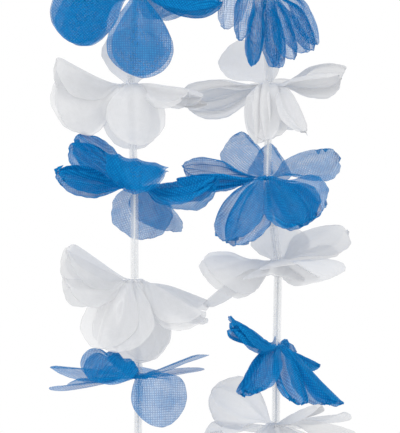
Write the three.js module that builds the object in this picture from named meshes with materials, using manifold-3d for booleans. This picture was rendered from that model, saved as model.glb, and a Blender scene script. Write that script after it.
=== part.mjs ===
// A fabric flower garland: eighteen die-cut flowers threaded on one cord loop,
// held apart by short lengths of clear tube. Blue and white flowers alternate.
// Units are millimetres, +Z is up, the viewer looks along +Y at the front.
// The origin is the top of the loop, where the garland hangs.
import * as THREE from "three";
import { mergeVertices } from "three/addons/utils/BufferGeometryUtils.js";
import Module from "manifold-3d";

const wasm = await Module();
wasm.setup();
const { Manifold, Mesh } = wasm;

// ---------------------------------------------------------------- dimensions
const BLANK_RADIUS = 52.5;    // centre of a flower to a petal's tip, laid flat
const ROOT_RADIUS = 5;        // where the petals leave the gathered centre
const PETAL_HALF_WIDTH = 18.8;
const NECK_HALF_WIDTH = 3.2;
const BEND_SPREAD = 0.34;     // share of a petal's length over which it bends
const TWIST_BY = 0.45;        // share of its length by which it has its full twist
const FOLD_BY = 0.3;          // share of its length by which it has its full fold
const FOLD_ROUNDNESS = 6;     // higher is a sharper crease along the rib
const BLADE = 0.6;            // thickness a petal is modelled at
const HUB_RADIUS = 7.5;
const HUB_THICKNESS = 2.6;
const HUB_SIDES = 10;
const LAYER_RISE = 0.6;       // the two layers sit this far above and below the middle
const EYELET_SIDES = 8;
const EYELET_REACH = 20;      // the eyelet's cut runs this far each way
const EYELET_PLAY = 0.35;
const TUBE_RADIUS = 2.4;
const TUBE_BORE = 1.85;
const TUBE_SIDES = 8;
const CORD_RADIUS = 0.6;
const CORD_SIDES = 8;
const CORD_STEPS = 3;         // rings of the cord from one flower to the next
const CUT_MARGIN = 1;         // a cutting solid runs this far past what it cuts
const SIMPLER = 0.1;          // faces closer than this to flat are merged
const GAP = 0.35;             // clearance between neighbouring pieces
const KNOT_RADIUS = 1.5;
const KNOT_ROOM = 5;          // cord left bare beside the top flower, for the knot
const TAIL_LENGTH = 14;
const TAIL_DIRECTIONS = [[-0.35, 1, -0.5], [-0.7, 0.8, 0.1]];

// Stations along a petal, as a share of its length, and across it.
const ALONG = [0, 0.26, 0.52, 0.8, 0.985];
const ACROSS = [-1, 0, 1];

// ------------------------------------------------------------------- flowers
// x, z: the flower's centre. tilt: its axis leans this many degrees towards +X.
// A petal is [azimuth, lift, bend, at, roll, fold, drawn]: it leaves the centre
// towards the azimuth (0 is +X, 90 is away from the viewer), raised by lift
// degrees; near the share "at" of its length it bends by a further "bend" degrees;
// it is twisted by roll about its own length, and folded down along its rib by
// fold. Fine pleats leave it the share "drawn" of its width, where that is given.
const BLUE = "blue";
const WHITE = "white";

const LEFT = [
  { colour: BLUE, x: -37, z: -38, tilt: 22, petals: [
    [36, -24, -30, 0.35, 0, 12], [108, -6, -24, 0.35, 0, 12], [180, -12, -30, 0.35, 0, 14],
    [252, -4, -30, 0.35, 0, 10], [324, -20, -34, 0.35, 0, 12],
    [46, -30, -34, 0.35, 0, 16], [118, -12, -24, 0.35, 0, 10], [190, -18, -26, 0.35, 0, 12],
    [262, -10, -34, 0.35, 0, 14], [314, -28, -34, 0.35, 0, 14] ] },
  { colour: WHITE, x: -38, z: -92.5, tilt: 0, petals: [
    [40, -14, -30, 0.35, 0, 12], [108, 4, -26, 0.35, 0, 14], [176, -2, -22, 0.35, 0, 16],
    [248, -6, -34, 0.35, 0, 12], [318, -10, -32, 0.35, 0, 14],
    [48, -20, -34, 0.35, 0, 14], [118, -4, -30, 0.35, 0, 12], [188, -10, -24, 0.35, 0, 14],
    [258, -12, -36, 0.35, 0, 12], [310, -18, -30, 0.35, 0, 12] ] },
  { colour: BLUE, x: -38, z: -147.5, tilt: 0, petals: [
    [-80, -60, -26, 0.18, 0, 4], [197, -22, 2, 0.35, -80, 6], [-24, -2, -4, 0.35, -14, 60, 0.6],
    [46, 8, -14, 0.35, -20, 25], [152, -18, -6, 0.35, -66, 8],
    [-68, -62, -22, 0.18, 0, 4], [202, -18, -4, 0.35, -80, 6], [-20, -6, 2, 0.35, -24, 60, 0.55],
    [56, 8, -14, 0.35, -20, 15], [160, -14, -4, 0.35, -66, 8] ] },
  { colour: WHITE, x: -41.5, z: -198, tilt: 0, petals: [
    [212, -16, -12, 0.35, -76, 14], [-76, -6, -82, 0.31, 0, 26], [-50, -2, -8, 0.35, 0, 70, 0.75],
    [88, 44, 8, 0.35, 0, 8], [148, 10, 6, 0.35, -20, 60],
    [216, 14, 6, 0.35, -6, 78], [218, -14, -16, 0.35, -74, 16], [-38, -4, -8, 0.35, 50, 70, 0.5],
    [-30, -12, -2, 0.35, 55, 60, 0.3], [88, -4, -74, 0.28, 0, 30] ] },
  { colour: BLUE, x: -39, z: -256, tilt: 0, petals: [
    [213, 6, 2, 0.35, -60, 14, 0.6], [145, 39, 0, 0.35, -60, 10, 0.6], [-86, 38, -130, 0.6, -15, 0],
    [-24, 0, 12, 0.35, -15, 55, 0.75], [82, -4, -66, 0.34, 0, 10],
    [216, 12, -2, 0.35, -60, 14, 0.5], [148, 36, -4, 0.35, -54, 16, 0.6], [-85, 37, -130, 0.6, -14, 4],
    [-30, -6, 14, 0.35, -15, 60, 0.8], [64, -14, -28, 0.35, 10, 16] ] },
  { colour: WHITE, x: -39, z: -309.5, tilt: 0, petals: [
    [222, 2, 2, 0.35, 0, 78], [232, -34, -30, 0.28, -12, 6], [-56, -58, -28, 0.2, 0, 6],
    [-34, -16, -8, 0.35, 0, 58], [138, 22, 4, 0.35, 66, 80],
    [218, 24, 2, 0.35, 0, 68], [254, -36, -30, 0.3, 0, 6], [-70, -54, -38, 0.2, 0, 6],
    [-30, -22, -4, 0.35, 10, 50], [34, -6, -12, 0.35, -10, 45] ] },
  { colour: BLUE, x: -36.5, z: -364, tilt: 0, petals: [
    [-58, 14, -100, 0.36, 0, 8], [236, 44, -80, 0.46, -12, 8, 0.86], [198, 11, -6, 0.35, -8, 10],
    [48, 12, 0, 0.35, -14, 3], [100, 4, 0, 0.35, 0, 8],
    [240, 42, -78, 0.46, -12, 8, 0.86], [172, -6, -2, 0.35, 0, 8], [135, -2, -4, 0.35, 0, 8],
    [90, 0, -2, 0.35, 0, 8], [56, 4, 0, 0.35, -6, 4] ] },
  { colour: WHITE, x: -37.5, z: -414.5, tilt: 0, petals: [
    [0, 26, -4, 0.35, -30, 15], [80, 6, -36, 0.35, 0, 12], [152, -4, -40, 0.35, 0, 15],
    [222, -8, -40, 0.35, 0, 12], [-66, -10, -50, 0.35, 0, 12],
    [-8, 18, -6, 0.35, -30, 15], [90, -4, -40, 0.35, 0, 12], [162, -14, -44, 0.35, 0, 14],
    [232, -18, -44, 0.35, 0, 12], [-58, -20, -54, 0.35, 0, 10] ] },
];

const BOTTOM = { colour: BLUE, x: 10, z: -436.5, tilt: 55, petals: [
  [0, -4, -20, 0.35, 0, 12], [62, -12, -30, 0.35, 0, 14], [102, -2, -16, 0.35, 0, 12],
  [-62, -12, -30, 0.35, 0, 12], [-122, 0, -20, 0.35, 0, 14],
  [8, -14, -22, 0.35, 0, 12], [70, -22, -30, 0.35, 0, 14], [110, -10, -18, 0.35, 0, 12],
  [-54, -22, -30, 0.35, 0, 12], [-114, -12, -20, 0.35, 0, 14] ] };

const RIGHT = [
  { colour: BLUE, x: 39, z: -38, tilt: -22, petals: [
    [0, -12, -30, 0.35, 0, 14], [72, -6, -24, 0.35, 0, 12], [144, -24, -32, 0.35, 0, 12],
    [216, -22, -34, 0.35, 0, 12], [288, -6, -30, 0.35, 0, 10],
    [10, -18, -26, 0.35, 0, 12], [82, -12, -26, 0.35, 0, 14], [134, -30, -30, 0.35, 0, 12],
    [226, -30, -30, 0.35, 0, 14], [298, -14, -30, 0.35, 0, 14] ] },
  { colour: WHITE, x: 39, z: -92.5, tilt: 0, petals: [
    [4, -2, -24, 0.35, 0, 14], [72, 2, -26, 0.35, 0, 14], [140, -10, -32, 0.35, 0, 12],
    [220, -14, -30, 0.35, 0, 12], [292, -8, -34, 0.35, 0, 12],
    [14, -10, -24, 0.35, 0, 12], [82, -6, -30, 0.35, 0, 12], [132, -18, -30, 0.35, 0, 14],
    [228, -20, -32, 0.35, 0, 14], [302, -14, -36, 0.35, 0, 12] ] },
  { colour: BLUE, x: 35, z: -145, tilt: 0, petals: [
    [226, 14, -92, 0.42, -30, 40, 0.6], [249, -52, -24, 0.3, -10, 40, 0.36],
    [-76, -60, -18, 0.3, 10, 40, 0.38], [-34, -14, -50, 0.35, 40, 30, 0.38],
    [-58, -48, -16, 0.3, 20, 40, 0.45],
    [244, -4, -72, 0.42, -20, 40, 0.4], [251, -49, -26, 0.3, -10, 50, 0.34],
    [-68, -58, -16, 0.3, 10, 45, 0.42], [-50, -42, -10, 0.3, 30, 35, 0.45],
    [-42, -26, -34, 0.35, 40, 30, 0.38] ] },
  { colour: WHITE, x: 38, z: -198, tilt: 0, petals: [
    [112, 30, 10, 0.35, -20, 10], [163, -4, -4, 0.35, 40, 14, 0.7], [-96, 6, -86, 0.3, 0, 40, 0.9],
    [-62, -14, -40, 0.4, -20, 45, 0.6], [30, 16, -8, 0.35, -44, 15, 0.7],
    [62, -12, -22, 0.3, 10, 50], [158, -12, -2, 0.35, 38, 14, 0.7], [-108, -2, -86, 0.34, 0, 40, 0.7],
    [-43, 6, 0, 0.35, -24, 25, 0.7], [80, 14, -8, 0.35, 0, 10] ] },
  { colour: BLUE, x: 36.5, z: -251, tilt: 0, petals: [
    [158, 10, -6, 0.35, 40, 10, 0.8], [108, 32, 6, 0.35, 0, 35], [36, 24, -6, 0.35, 22, 20],
    [-52, -24, -2, 0.35, 56, 8, 0.85], [226, -34, -24, 0.3, -10, 10, 0.9],
    [175, 3, -4, 0.35, 40, 30, 0.4], [86, 28, 0, 0.35, 0, 50], [-66, -20, -20, 0.35, 20, 8, 0.85],
    [-60, -28, -4, 0.35, 46, 10, 0.8], [236, -38, -22, 0.3, 0, 20, 0.9] ] },
  { colour: WHITE, x: 43, z: -298.5, tilt: 0, petals: [
    [38, 30, -8, 0.35, 17, 10], [-56, 0, -16, 0.35, 20, 12], [-80, 4, -8, 0.35, -6, 24],
    [222, 0, -12, 0.35, -40, 20], [200, -24, -10, 0.35, 26, 10],
    [86, 36, -6, 0.35, 0, 20], [-96, 0, -10, 0.35, 0, 24], [58, 16, -6, 0.35, 0, 14],
    [216, -2, -12, 0.35, -40, 20], [130, 8, -20, 0.35, 0, 15] ] },
  { colour: BLUE, x: 42, z: -347, tilt: 0, petals: [
    [242, 15, 4, 0.35, -34, 20, 0.6], [250, -14, -26, 0.35, 20, 20, 0.7],
    [-72, -26, -22, 0.3, -30, 20, 0.62], [-14, -38, -8, 0.35, -10, 50, 0.75],
    [88, 14, -28, 0.35, 0, 30, 0.7],
    [240, 14, 2, 0.35, -30, 30, 0.55], [246, -14, -28, 0.35, 24, 16, 0.7],
    [-38, -31, -10, 0.35, 0, 50, 0.8], [58, -12, -4, 0.35, 0, 65, 0.4],
    [120, 16, 4, 0.35, 39, 20, 0.6] ] },
  { colour: WHITE, x: 41.5, z: -391.5, tilt: 0, petals: [
    [138, 22, 0, 0.35, -70, 10, 0.85], [230, -30, -28, 0.3, 0, 20], [-62, 18, -2, 0.35, 14, 8, 0.4],
    [-34, 0, -4, 0.35, -30, 15], [38, 8, -4, 0.35, -10, 20],
    [-88, -36, -40, 0.3, 0, 10], [-48, -28, -40, 0.3, 0, 10], [134, 0, -2, 0.35, 0, 20],
    [80, -6, -20, 0.35, 0, 14], [237, -44, -28, 0.3, 0, 20] ] },
];

const TOP = { colour: WHITE, x: 0, z: 0, tilt: 90, petals: [
  [36, 10, -10, 0.35, 0, 12], [104, 14, -14, 0.35, 0, 12], [180, 18, -20, 0.35, 0, 14],
  [256, 12, -14, 0.35, 0, 12], [324, 8, -10, 0.35, 0, 12],
  [46, -8, -20, 0.35, 0, 12], [114, -4, -16, 0.35, 0, 14], [190, 6, -10, 0.35, 0, 12],
  [266, -4, -16, 0.35, 0, 12], [334, -8, -20, 0.35, 0, 14] ] };

// The flowers in their order round the loop: down the left strand, across the
// bottom and up the right strand.
const RING = [
  { name: "top", ...TOP },
  ...LEFT.map((flower, i) => ({ name: "left_" + (i + 1), ...flower })),
  { name: "bottom", ...BOTTOM },
  ...RIGHT.map((flower, i) => ({ name: "right_" + (i + 1), ...flower })).reverse(),
];

const FINISH = {
  blue: { color: 0x2f74bd, roughness: 0.8, metalness: 0 },
  white: { color: 0xe6e8ec, roughness: 0.8, metalness: 0 },
  tube: { color: 0xdfe3e6, roughness: 0.25, metalness: 0 },
  cord: { color: 0xf2f2ee, roughness: 0.7, metalness: 0 },
};

// ------------------------------------------------------------------- helpers
const radians = (degrees) => (degrees * Math.PI) / 180;

function smooth(x) {
  const t = Math.min(1, Math.max(0, x));
  return t * t * (3 - 2 * t);
}

// A closed geometry as a solid that can be joined and cut.
function solidOf(geometry) {
  geometry.deleteAttribute("normal");
  geometry.deleteAttribute("uv");
  const merged = mergeVertices(geometry, 1e-4);
  return new Manifold(new Mesh({
    numProp: 3,
    vertProperties: new Float32Array(merged.getAttribute("position").array),
    triVerts: new Uint32Array(merged.index.array),
  }));
}

// A cylinder that stands on the origin along +Z.
function rod(length, radius, sides) {
  const geometry = new THREE.CylinderGeometry(radius, radius, length, sides);
  return solidOf(geometry.rotateX(Math.PI / 2).translate(0, 0, length / 2));
}

// Joined pieces with any pocket sealed between them filled.
function joined(pieces) {
  const whole = Manifold.union(pieces).simplify(SIMPLER);
  return Manifold.union(whole.decompose().filter((body) => body.volume() > 0));
}

function node(name, solid, finish) {
  const mesh = solid.getMesh();
  const geometry = new THREE.BufferGeometry();
  geometry.setAttribute("position", new THREE.BufferAttribute(mesh.vertProperties, 3));
  geometry.setIndex(new THREE.BufferAttribute(mesh.triVerts, 1));
  geometry.computeVertexNormals();
  const made = new THREE.Mesh(geometry, new THREE.MeshStandardMaterial({ ...finish }));
  made.name = name;
  return made;
}

// -------------------------------------------------------------------- petals
// Half the width of the flat petal at a share of its length: a round lobe on a
// narrow neck.
function halfWidth(share) {
  const lobe = PETAL_HALF_WIDTH * Math.pow(Math.sin(Math.PI * Math.pow(share, 1.5)), 0.55);
  const neck = NECK_HALF_WIDTH * (1 - share) * (1 - share);
  return Math.hypot(lobe, neck);
}

// The bent middle line of a petal: how far out and how high a share of its
// length has come, and the slope there.
function middleLine(share, lift, bend, at) {
  const length = BLANK_RADIUS - ROOT_RADIUS;
  const steps = 80;
  const slope = (s) => radians(lift) + radians(bend) * smooth((s - at) / BEND_SPREAD + 0.5);
  let out = ROOT_RADIUS;
  let up = 0;
  for (let i = 0; i < steps; i += 1) {
    const here = slope(((i + 0.5) / steps) * share);
    out += (Math.cos(here) * share * length) / steps;
    up += (Math.sin(here) * share * length) / steps;
  }
  return { out, up, slope: slope(share) };
}

// How far a folded half petal reaches sideways and downwards at a share of its
// half width: the fold is rounded near the rib.
function foldedReach(share, fold) {
  const steps = 20;
  let side = 0;
  let down = 0;
  for (let i = 0; i < steps; i += 1) {
    const t = ((i + 0.5) / steps) * share;
    const opening = Math.tanh(FOLD_ROUNDNESS * t) / Math.tanh(FOLD_ROUNDNESS);
    const angle = radians(fold) * opening;
    side += (Math.cos(angle) * share) / steps;
    down += (Math.sin(angle) * share) / steps;
  }
  return { side, down };
}

function petalGrid([azimuth, lift, bend, at, roll, fold, drawn = 1]) {
  const a = radians(azimuth);
  const outward = new THREE.Vector3(Math.cos(a), Math.sin(a), 0);
  const sideways = new THREE.Vector3(-Math.sin(a), Math.cos(a), 0);
  const upward = new THREE.Vector3(0, 0, 1);
  return ALONG.map((share) => {
    const line = middleLine(share, lift, bend, at);
    const normal = outward.clone().multiplyScalar(-Math.sin(line.slope));
    normal.addScaledVector(upward, Math.cos(line.slope));
    const twist = radians(roll) * smooth(share / TWIST_BY);
    const across = sideways.clone().multiplyScalar(Math.cos(twist));
    across.addScaledVector(normal, Math.sin(twist));
    const face = sideways.clone().multiplyScalar(-Math.sin(twist));
    face.addScaledVector(normal, Math.cos(twist));
    const middle = outward.clone().multiplyScalar(line.out);
    middle.addScaledVector(upward, line.up);
    const width = halfWidth(share) * (1 - (1 - drawn) * smooth(share / FOLD_BY));
    return ACROSS.map((t) => {
      const reach = foldedReach(Math.abs(t), fold);
      const point = middle.clone();
      point.addScaledVector(across, Math.sign(t) * reach.side * width);
      point.addScaledVector(face, -reach.down * width * smooth(share / FOLD_BY));
      return point;
    });
  });
}

// A grid of points given thickness: both faces carry the same triangles.
function blade(grid, thickness) {
  const rows = grid.length;
  const columns = grid[0].length;
  const normals = grid.map((row, i) => row.map((point, j) => {
    const along = grid[Math.min(i + 1, rows - 1)][j].clone();
    along.sub(grid[Math.max(i - 1, 0)][j]);
    const across = grid[i][Math.min(j + 1, columns - 1)].clone();
    across.sub(grid[i][Math.max(j - 1, 0)]);
    return along.cross(across).normalize();
  }));
  const positions = [];
  for (const side of [0.5, -0.5]) {
    for (let i = 0; i < rows; i += 1) {
      for (let j = 0; j < columns; j += 1) {
        const point = grid[i][j].clone();
        point.addScaledVector(normals[i][j], side * thickness);
        positions.push(point.x, point.y, point.z);
      }
    }
  }
  const index = [];
  const bottom = rows * columns;
  const at = (i, j) => i * columns + j;
  for (let i = 0; i < rows - 1; i += 1) {
    for (let j = 0; j < columns - 1; j += 1) {
      const corners = [at(i, j), at(i + 1, j), at(i + 1, j + 1), at(i, j + 1)];
      const [p, q, r, s] = corners;
      index.push(p, q, r, p, r, s);
      index.push(bottom + p, bottom + r, bottom + q, bottom + p, bottom + s, bottom + r);
    }
  }
  const rim = [];
  for (let j = 0; j < columns; j += 1) rim.push(at(0, j));
  for (let i = 1; i < rows; i += 1) rim.push(at(i, columns - 1));
  for (let j = columns - 2; j >= 0; j -= 1) rim.push(at(rows - 1, j));
  for (let i = rows - 2; i > 0; i -= 1) rim.push(at(i, 0));
  rim.forEach((p, k) => {
    const q = rim[(k + 1) % rim.length];
    index.push(p, q, bottom + p, q, bottom + q, bottom + p);
  });
  const geometry = new THREE.BufferGeometry();
  geometry.setAttribute("position", new THREE.Float32BufferAttribute(positions, 3));
  geometry.setIndex(index);
  return solidOf(geometry);
}

// ------------------------------------------------------------------- flowers
// A flower's axis leans by tilt degrees about the Y axis.
function placed(solid, flower) {
  return solid.rotate([0, flower.tilt, 0]).translate([flower.x, 0, flower.z]);
}

// The steeper the cord passes through a flower, the wider its eyelet.
function eyeletRadius(lean) {
  const slant = (HUB_THICKNESS / 2) * Math.tan(lean);
  return CORD_RADIUS / Math.cos(lean) + slant + EYELET_PLAY;
}

function flowerSolid(flower, lean) {
  const hub = rod(HUB_THICKNESS, HUB_RADIUS, HUB_SIDES);
  const centred = hub.translate([0, 0, -HUB_THICKNESS / 2]);
  const petals = flower.petals.map((petal, k) => {
    const layer = k < flower.petals.length / 2 ? 1 : -1;
    return blade(petalGrid(petal), BLADE).translate([0, 0, layer * LAYER_RISE]);
  });
  const cut = rod(2 * EYELET_REACH, eyeletRadius(lean), EYELET_SIDES);
  const eyelet = cut.translate([0, 0, -EYELET_REACH]);
  return placed(joined([centred, ...petals]).subtract(eyelet), flower);
}

// --------------------------------------------------------------- tubes, cord
const centre = (flower) => new THREE.Vector3(flower.x, 0, flower.z);

function axisOf(flower) {
  const t = radians(flower.tilt);
  return new THREE.Vector3(Math.sin(t), 0, Math.cos(t));
}

// The angle between a flower's axis and the cord running from one point to another.
function leanAt(flower, from, to) {
  const along = to.clone().sub(from).normalize();
  return Math.acos(Math.min(1, Math.abs(along.dot(axisOf(flower)))));
}

function alignedTo(solid, from, to) {
  const along = to.clone().sub(from).normalize();
  const up = new THREE.Vector3(0, 0, 1);
  const turn = new THREE.Quaternion().setFromUnitVectors(up, along);
  const matrix = new THREE.Matrix4().makeRotationFromQuaternion(turn);
  matrix.setPosition(from);
  return solid.transform(matrix.elements);
}

function tubeSolid(from, to, startRoom, endRoom) {
  const length = from.distanceTo(to) - startRoom - endRoom;
  const outer = rod(length, TUBE_RADIUS, TUBE_SIDES);
  const bore = rod(length + 2 * CUT_MARGIN, TUBE_BORE, TUBE_SIDES);
  const tube = outer.subtract(bore.translate([0, 0, -CUT_MARGIN]));
  return alignedTo(tube.translate([0, 0, startRoom]), from, to);
}

// The cord's route: straight from each flower's centre to the next, closed.
class CordRoute extends THREE.Curve {
  constructor(points) {
    super();
    this.points = points;
  }

  getPoint(t, target = new THREE.Vector3()) {
    const count = this.points.length;
    const place = (((t % 1) + 1) % 1) * count;
    const i = Math.min(count - 1, Math.floor(place));
    return target.lerpVectors(this.points[i], this.points[(i + 1) % count], place - i);
  }

  getPointAt(t, target) {
    return this.getPoint(t, target);
  }

  getTangentAt(t) {
    const step = 0.25 / this.points.length;
    return this.getPoint(t + step).sub(this.getPoint(t - step)).normalize();
  }
}

function loopSolid(points) {
  const steps = points.length * CORD_STEPS;
  const route = new CordRoute(points);
  return solidOf(new THREE.TubeGeometry(route, steps, CORD_RADIUS, CORD_SIDES, true));
}

function tailSolid(from, towards) {
  const tail = rod(TAIL_LENGTH, CORD_RADIUS, CORD_SIDES);
  return alignedTo(tail, from, from.clone().add(towards));
}

// ------------------------------------------------------------------ assembly
const group = new THREE.Group();
group.name = "flower_garland";

RING.forEach((flower, i) => {
  const here = centre(flower);
  const before = centre(RING[(i + RING.length - 1) % RING.length]);
  const after = centre(RING[(i + 1) % RING.length]);
  const lean = Math.max(leanAt(flower, before, here), leanAt(flower, here, after));
  group.add(node("flower_" + flower.name, flowerSolid(flower, lean), FINISH[flower.colour]));
});

const endRoom = (flower, from, to) => {
  const lean = leanAt(flower, from, to);
  return (HUB_THICKNESS / 2 + GAP) / Math.cos(lean) + TUBE_RADIUS * Math.tan(lean);
};

RING.forEach((flower, i) => {
  const next = RING[(i + 1) % RING.length];
  const from = centre(flower);
  const to = centre(next);
  const knotRoom = i === 0 ? KNOT_ROOM : 0;
  const tube = tubeSolid(
    from,
    to,
    endRoom(flower, from, to) + knotRoom,
    endRoom(next, from, to),
  );
  const number = String(i + 1).padStart(2, "0");
  group.add(node("tube_" + number, tube, FINISH.tube));
});

const knotSpot = centre(RING[1]).sub(centre(RING[0])).normalize();
knotSpot.multiplyScalar(endRoom(RING[0], centre(RING[0]), centre(RING[1])) + KNOT_ROOM / 2);
const knot = solidOf(new THREE.SphereGeometry(KNOT_RADIUS, 10, 6)).translate(knotSpot.toArray());
const tails = TAIL_DIRECTIONS.map((way) => tailSolid(knotSpot, new THREE.Vector3(...way)));
const cord = joined([loopSolid(RING.map(centre)), knot, ...tails]);
group.add(node("cord_loop", cord, FINISH.cord));

export default group;
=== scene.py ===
# %% [markdown]
# # A garland of fabric flowers
# Eighteen die-cut flowers of sheer woven fabric hang on one cord, alternately
# blue and white, and short clear tubes keep them apart. The engineering model
# holds every flower as a plain solid. This script loads it as a fixed frame and
# makes each flower, tube and cord again in fine detail, in metres, in the same
# place.

# %% Load the frame
import math
from collections import namedtuple

import bmesh
import bpy
import numpy as np
from mathutils import Matrix, Vector


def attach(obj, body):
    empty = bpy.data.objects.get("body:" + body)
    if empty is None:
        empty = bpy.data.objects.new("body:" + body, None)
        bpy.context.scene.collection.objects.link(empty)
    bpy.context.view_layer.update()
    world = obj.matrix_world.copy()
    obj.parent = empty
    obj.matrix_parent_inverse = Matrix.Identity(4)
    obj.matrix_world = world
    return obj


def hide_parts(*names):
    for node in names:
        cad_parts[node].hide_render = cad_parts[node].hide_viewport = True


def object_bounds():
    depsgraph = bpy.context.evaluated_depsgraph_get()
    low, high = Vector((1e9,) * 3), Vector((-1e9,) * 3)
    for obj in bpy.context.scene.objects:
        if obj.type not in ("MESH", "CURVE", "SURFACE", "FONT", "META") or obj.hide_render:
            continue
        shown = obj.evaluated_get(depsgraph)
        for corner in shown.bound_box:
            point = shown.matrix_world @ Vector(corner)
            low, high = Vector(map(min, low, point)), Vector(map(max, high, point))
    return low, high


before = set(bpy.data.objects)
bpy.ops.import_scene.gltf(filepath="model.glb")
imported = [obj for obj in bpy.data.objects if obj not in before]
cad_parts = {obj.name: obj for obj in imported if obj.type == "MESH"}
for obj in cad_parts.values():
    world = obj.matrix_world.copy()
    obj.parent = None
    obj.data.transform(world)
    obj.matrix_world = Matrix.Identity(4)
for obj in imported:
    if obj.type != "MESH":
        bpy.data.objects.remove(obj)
cad_box = [list(corner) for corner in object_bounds()]
print("nodes", len(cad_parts), "box", cad_box)

# %% [markdown]
# ## The picture
# The camera stands level in front of the two hanging strands and sees only the
# middle of the garland. The loop runs on above and below the picture. Sheer
# layers lie many deep, so light may pass through a good number of them.

# %% Camera
MM = 0.001
IMAGE_HEIGHT = 433
MM_PER_PIXEL = 0.57
SENSOR_MM = 36.0
CAMERA_DISTANCE = 1.5
LAYERS_SEEN_THROUGH = 48
PICTURE_CENTRE = Vector((-1.7 * MM, 0, -272.7 * MM))

scene = bpy.context.scene
seen_height = IMAGE_HEIGHT * MM_PER_PIXEL * MM
camera_data = bpy.data.cameras.new("camera")
camera_data.sensor_fit = "VERTICAL"
camera_data.sensor_height = SENSOR_MM
camera_data.lens = SENSOR_MM * CAMERA_DISTANCE / seen_height
camera = bpy.data.objects.new("camera", camera_data)
camera.location = PICTURE_CENTRE + Vector((0, -CAMERA_DISTANCE, 0))
camera.rotation_euler = (math.radians(90), 0, 0)
scene.collection.objects.link(camera)
scene.camera = camera
scene.view_settings.view_transform = "Standard"
scene.cycles.transparent_max_bounces = LAYERS_SEEN_THROUGH
print("the picture is", round(seen_height * 1000), "mm high")

# %% [markdown]
# ## The light and the floor
# The light is a white studio: an even surround, and three soft lamps that give
# the folds light and shade. The camera sees the surround at full white, but the
# flowers are lit by less of it, so that the lamps still shape their folds.

# %% Surround, lamps and floor
SURROUND_LIGHT = 0.74
FLOOR_DROP = 0.09
FLOOR_SIZE = 1.1
FLOOR_COLOUR = (0.82, 0.82, 0.81, 1)
FLOOR_ROUGHNESS = 0.8

world = bpy.data.worlds.new("white_studio")
scene.world = world
world.use_nodes = True
background = world.node_tree.nodes["Background"]
background.inputs["Color"].default_value = (1, 1, 1, 1)
rays = world.node_tree.nodes.new("ShaderNodeLightPath")
brighter = world.node_tree.nodes.new("ShaderNodeMath")
brighter.operation = "MULTIPLY_ADD"
brighter.inputs[1].default_value = 1.0 - SURROUND_LIGHT
brighter.inputs[2].default_value = SURROUND_LIGHT
world.node_tree.links.new(rays.outputs["Is Camera Ray"], brighter.inputs[0])
world.node_tree.links.new(brighter.outputs[0], background.inputs["Strength"])


def lamp(name, place, size, power):
    data = bpy.data.lights.new(name, "AREA")
    data.shape = "DISK"
    data.size = size
    data.energy = power
    hung = bpy.data.objects.new(name, data)
    hung.location = place
    towards = PICTURE_CENTRE - Vector(place)
    hung.rotation_euler = towards.to_track_quat("-Z", "Y").to_euler()
    scene.collection.objects.link(hung)


lamp("key_lamp", (-0.9, -1.2, 0.6), 0.9, 9.0)
lamp("fill_lamp", (1.1, -1.0, -0.1), 1.2, 4.0)
lamp("rear_lamp", (0.2, 1.3, 0.5), 1.0, 5.0)

floor_height = cad_box[0][2] - FLOOR_DROP
floor_mesh = bmesh.new()
bmesh.ops.create_grid(floor_mesh, x_segments=1, y_segments=1, size=FLOOR_SIZE)
bmesh.ops.translate(floor_mesh, verts=floor_mesh.verts, vec=(0, 0, floor_height))
floor_data = bpy.data.meshes.new("floor")
floor_mesh.to_mesh(floor_data)
floor_mesh.free()
floor = bpy.data.objects.new("floor", floor_data)
scene.collection.objects.link(floor)
floor_paint = bpy.data.materials.new("floor_paint")
floor_paint.use_nodes = True
floor_shader = floor_paint.node_tree.nodes["Principled BSDF"]
floor_shader.inputs["Base Color"].default_value = FLOOR_COLOUR
floor_shader.inputs["Roughness"].default_value = FLOOR_ROUGHNESS
floor_data.materials.append(floor_paint)
print("the floor is at", round(floor_height, 3), "m, and the lamps are", len(bpy.data.lights))

# %% [markdown]
# ## What a flower is
# Each flower is two layers of sheer cloth. A layer is cut with a die in one
# blank: five round petals on narrow necks round a small hole. It is gathered at
# the middle, and hands and packing have bent every petal its own way. The sizes
# below are in millimetres, and the engineering model has the same. Only the cloth
# is thinner here, because a petal is 0.6 mm thick in that model. Where a petal
# bends, twists and folds is given as a share of its length.

# %% Sizes of the flat blank
BLANK_RADIUS = 52.5
ROOT_RADIUS = 5.0
PETAL_HALF_WIDTH = 18.8
NECK_HALF_WIDTH = 3.2
LAYER_RISE = 0.6
HUB_THICKNESS = 2.6
CLOTH_THICKNESS = 0.22
WELD = 0.01
PETALS_PER_LAYER = 5
BEND_SPREAD = 0.34
TWIST_BY = 0.45
FOLD_BY = 0.3
FOLD_ROUNDNESS = 6.0
petal_length = BLANK_RADIUS - ROOT_RADIUS
print("a petal is", petal_length, "mm long and", 2 * PETAL_HALF_WIDTH, "mm wide")

# %% [markdown]
# ## Where every petal goes
# A flower has a colour, a place in the loop's plane and a lean of its axis. A
# petal is six numbers: the way it points (0 is right, 90 is away from the
# camera), how far it is raised, a further bend and the share of its length where
# that comes, a twist about its own length, and how far it is folded along its
# rib. A seventh number is the share of its width that fine pleats leave it, where
# they draw it in. The first five petals are the upper layer, the rest the lower.
# Places are in millimetres and angles in degrees.

# %% The flowers
Flower = namedtuple("Flower", "colour x z tilt petals")
BLUE = "blue"
WHITE = "white"

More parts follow.
